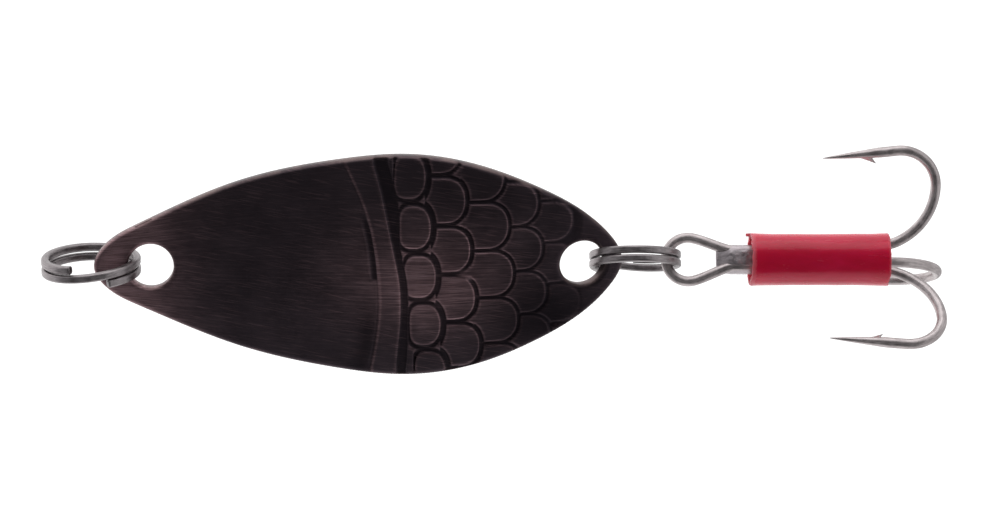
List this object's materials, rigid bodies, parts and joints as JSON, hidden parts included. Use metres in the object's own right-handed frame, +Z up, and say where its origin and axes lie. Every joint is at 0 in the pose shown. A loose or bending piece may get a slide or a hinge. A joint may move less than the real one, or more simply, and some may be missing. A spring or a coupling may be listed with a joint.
{
  "type": "spoon lure",
  "caption": "Leaf-shaped metal fishing spoon with an embossed scale face, a split ring at each end and a treble hook in a short coloured sleeve.",
  "frame": {"origin": "where the line bears on the inside of the front split ring, at the top of the hanging lure", "axes": "+Z up along the line and the lure's length, the embossed face of the blade looks towards -Y, the blade's width lies along X"},
  "size_m": [0.0222, 0.0197, 0.088],
  "materials": {
    "oxidised_copper": "darkened copper, brushed bare on the raised scales",
    "black_nickel": "black nickel, satin",
    "hook_steel": "dark bronzed steel, satin",
    "braze_metal": "plated braze, slightly rough",
    "red_plastic": "glossy translucent vinyl"
  },
  "bodies": {
    "front_ring": {"front_split_ring": "black_nickel"},
    "blade": {"spoon_blade": "oxidised_copper"},
    "rear_ring": {"rear_split_ring": "black_nickel"},
    "treble": {"treble_hook_pair": "hook_steel", "treble_third_hook": "hook_steel", "shank_braze": "braze_metal", "red_sleeve": "red_plastic"}
  },
  "joints": [
    {"name": "blade_on_front_ring", "type": "hinge", "parent": "front_ring", "child": "blade", "pos_m": [0, 0, -0.00395], "axis": [1, 0, 0], "range_deg": [-80, 80]},
    {"name": "rear_ring_in_hole", "type": "hinge", "parent": "blade", "child": "rear_ring", "pos_m": [0, 0.0012, -0.05105], "axis": [0, 1, 0], "range_deg": [-30, 60]},
    {"name": "hook_on_rear_ring", "type": "hinge", "parent": "rear_ring", "child": "treble", "pos_m": [0, 0.0017, -0.05615], "axis": [0.9063, 0.4226, 0], "range_deg": [-75, 75]}
  ]
}
